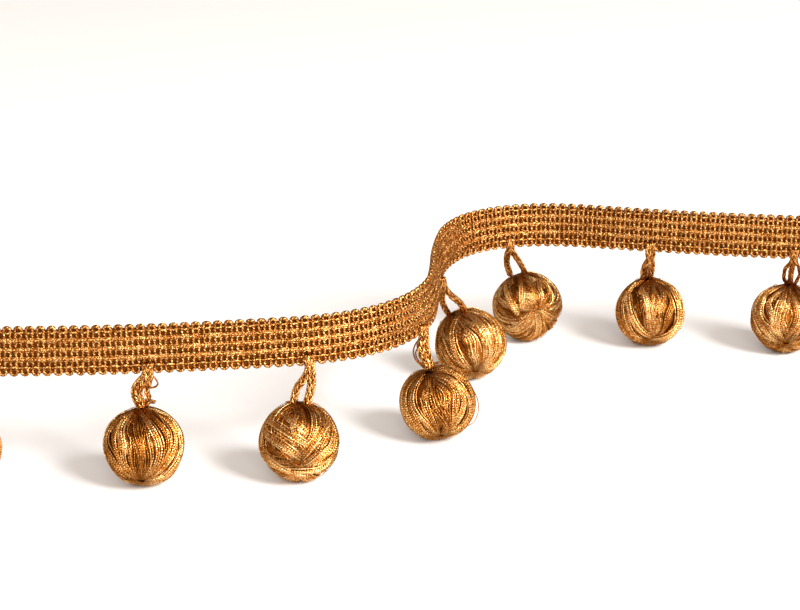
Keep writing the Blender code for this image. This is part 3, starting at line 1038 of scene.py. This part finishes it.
def leg_line(number, points):
    """A smooth line in metres through places given from a loop's start at the braid, out to its ball."""
    along = BALLS[number][0]
    neck = BALLS[number][2]
    low = BRAID_MIDDLE + LOOP_ROOT
    root = on_braid(np.array([along]), np.array([LOOP_ROOT]), np.array([LOOP_ROOT_DEPTH]))[0] / MM
    meeting = ball_centre(number) + unit(neck) * LOOP_MEETS
    fall = low - meeting[2]
    places = []
    for x, z in points:
        share = np.clip(-z / fall, 0.0, 1.2)
        depth = (meeting[1] - root[1]) * share
        places.append((root[0] + x, root[1] + depth, low + z))
        if z > 0.0:
            height = np.array([LOOP_ROOT + z])
            front = on_braid(np.array([along]), height, np.array([LOOP_FRONT_DEPTH]))[0] / MM
            places[-1] = (front[0] + x, front[1], front[2])
    return smooth_line(np.array(places), LEG_POINTS) * MM


def plaited_leg(line, radius, wind, sizes, rng):
    """One leg of a loop: a soft core with fine threads that wind round it both ways, over and under."""
    tangent = unit(np.gradient(line, axis=0))
    first = unit(np.cross(tangent, np.array([0.0, 1.0, 0.0])))
    second = np.cross(tangent, first)
    share = np.linspace(0.0, 1.0, len(line))
    full = radius * MM * sizes.fullness - sizes.thread_radius
    spacing = 3.2
    count = max(3, int(math.tau * full / (sizes.thread_radius * spacing)))
    swell = 0.88 + 0.12 * np.sin(math.pi * share)
    core = full * swell * 0.85
    # The core is dark in tone and wears painted shade, as it lies under the threads
    cords = [cord(line, core, 0.1, 0.8)]
    for way in (1.0, -1.0):
        for thread in range(count):
            turn = math.tau * (thread / count + way * wind * share + rng.uniform(-0.04, 0.04))
            over = way * np.cos(turn * count * 0.5)
            reach = full * swell + over * sizes.thread_radius * 0.55
            points = line + first * (reach * np.cos(turn))[:, None]
            points = points + second * (reach * np.sin(turn))[:, None]
            thick = sizes.thread_radius * rng.uniform(0.75, 1.10)
            # A thread is lighter where it passes over and wears painted shade where it goes under
            tone = rng.uniform(0.1, 0.8) + 0.2 * over
            painted_shade = np.clip(0.25 - 0.25 * over, 0.0, 1.0)
            cords.append(cord(points, thick, np.clip(tone, 0.0, 1.0), painted_shade))
    return cords


class TRIM_OT_braid(bpy.types.Operator):
    """Weave the gimp braid: its ground, its looping cord and its stitched rows"""

    bl_idname = "trim.braid"
    bl_label = "Weave Braid"

    def execute(self, context):
        sizes = context.scene.trim_braid
        rng = np.random.RandomState(7)
        mesh, flat = ground_web(sizes)
        nodes = ["heading_braid"]
        ground = place_piece("braid_ground", mesh, [thread_material("ground_thread")], nodes)
        mesh = cord_mesh("braid_weft", [weft_cord(sizes)], 6)
        weft = place_piece("braid_weft", mesh, [thread_material("gimp_thread")], [])
        mesh = cord_mesh("braid_chains", chain_cords(sizes, rng), 4)
        chains = place_piece("braid_chains", mesh, [thread_material("chain_thread")], [])
        return {"FINISHED"}


class TRIM_OT_loops(bpy.types.Operator):
    """Lay the thread loops that hold the balls"""

    bl_idname = "trim.loops"
    bl_label = "Lay Hanger Loops"

    def execute(self, context):
        sizes = context.scene.trim_loops
        for number in range(len(BALLS)):
            rng = np.random.RandomState(90 + number)
            cords = []
            for ball, radius, wind, points in LEGS:
                if ball == number:
                    cords.extend(plaited_leg(leg_line(number, points), radius, wind, sizes, rng))
            for ball, radius, tone, points in LOOSE_THREADS:
                if ball == number:
                    cords.append(cord(leg_line(number, points), radius * MM, tone))
            mesh = cord_mesh(f"loop_{number}_threads", cords, 6)
            materials = [thread_material("hanger_thread")]
            place_piece(mesh.name, mesh, materials, [f"hanger_loop_{number}"])
        return {"FINISHED"}


class TRIM_OT_balls(bpy.types.Operator):
    """Wind the balls of ribbon"""

    bl_idname = "trim.balls"
    bl_label = "Wind Balls"

    def execute(self, context):
        for number in range(len(BALLS)):
            wind_ball(number, context.scene.trim_balls)
        return {"FINISHED"}


class TRIM_OT_stage(bpy.types.Operator):
    """Set the pale floor, the soft lights and the camera"""

    bl_idname = "trim.stage"
    bl_label = "Set Stage"

    def execute(self, context):
        settings = context.scene.trim_stage
        lay_floor(settings)
        hang_light("key_light", *KEY_LIGHT, settings.key_power)
        hang_light("fill_light", *FILL_LIGHT, settings.fill_power)
        world = bpy.data.worlds.new("studio")
        world.use_nodes = True
        background = world.node_tree.nodes["Background"]
        background.inputs["Color"].default_value = ROOM_COLOUR
        background.inputs["Strength"].default_value = settings.room_light
        context.scene.world = world
        context.scene.view_settings.view_transform = "Standard"
        set_camera()
        return {"FINISHED"}


def lay_floor(settings):
    """A wide pale floor."""
    bm = bmesh.new()
    bmesh.ops.create_grid(bm, x_segments=1, y_segments=1, size=FLOOR_REACH)
    mesh = bpy.data.meshes.new("floor")
    bm.to_mesh(mesh)
    bm.free()
    material = bpy.data.materials.new("floor_white")
    material.use_nodes = True
    shader = material.node_tree.nodes["Principled BSDF"]
    shader.inputs["Base Color"].default_value = (*settings.floor_colour, 1.0)
    shader.inputs["Roughness"].default_value = 0.3
    mesh.materials.append(material)
    floor = bpy.data.objects.new("floor", mesh)
    bpy.context.scene.collection.objects.link(floor)


def hang_light(name, direction, distance, size, power):
    """A square soft light that faces the trim."""
    light = bpy.data.lights.new(name, "AREA")
    light.size = size
    light.energy = power
    light.color = LIGHT_COLOUR
    lamp = bpy.data.objects.new(name, light)
    away = Vector(direction).normalized()
    lamp.location = away * distance
    lamp.rotation_euler = away.to_track_quat("Z", "Y").to_euler()
    bpy.context.scene.collection.objects.link(lamp)


def set_camera():
    """The photograph's view: from the front and a little above, with a long lens."""
    lens = bpy.data.cameras.new("camera")
    lens.sensor_width = CAMERA_SENSOR
    lens.lens = CAMERA_LENS
    lens.clip_start = 0.01
    camera = bpy.data.objects.new("camera", lens)
    camera.location = Vector(CAMERA_PLACE) * MM
    camera.rotation_euler = (math.radians(90.0 - CAMERA_TILT), 0.0, 0.0)
    bpy.context.scene.collection.objects.link(camera)
    bpy.context.scene.camera = camera


class TRIM_PT_panel(bpy.types.Panel):
    """Shows the trim's settings and the buttons that make its pieces"""

    bl_label = "Ball Trim"
    bl_idname = "TRIM_PT_panel"
    bl_space_type = "VIEW_3D"
    bl_region_type = "UI"
    bl_category = "Ball Trim"

    def draw(self, context):
        column = self.layout.column()
        for word, operator in (
            ("trim_braid", "trim.braid"),
            ("trim_loops", "trim.loops"),
            ("trim_balls", "trim.balls"),
            ("trim_stage", "trim.stage"),
        ):
            group = getattr(context.scene, word)
            for label in group.bl_rna.properties.keys():
                if label not in ("rna_type", "name"):
                    column.prop(group, label)
            column.operator(operator)


GROUPS = (
    ("trim_braid", BraidSizes),
    ("trim_loops", LoopSizes),
    ("trim_balls", BallSizes),
    ("trim_stage", StageSettings),
)
OPERATORS = (TRIM_OT_braid, TRIM_OT_loops, TRIM_OT_balls, TRIM_OT_stage)
CLASSES = (*(group for word, group in GROUPS), *OPERATORS, TRIM_PT_panel)


def register():
    for item in CLASSES:
        bpy.utils.register_class(item)
    for word, group in GROUPS:
        setattr(bpy.types.Scene, word, bpy.props.PointerProperty(type=group))


def unregister():
    for word, group in GROUPS:
        delattr(bpy.types.Scene, word)
    for item in reversed(CLASSES):
        bpy.utils.unregister_class(item)


def main():
    register()
    bpy.ops.trim.braid()
    bpy.ops.trim.loops()
    bpy.ops.trim.balls()
    bpy.ops.trim.stage()


if __name__ == "__main__":
    main()
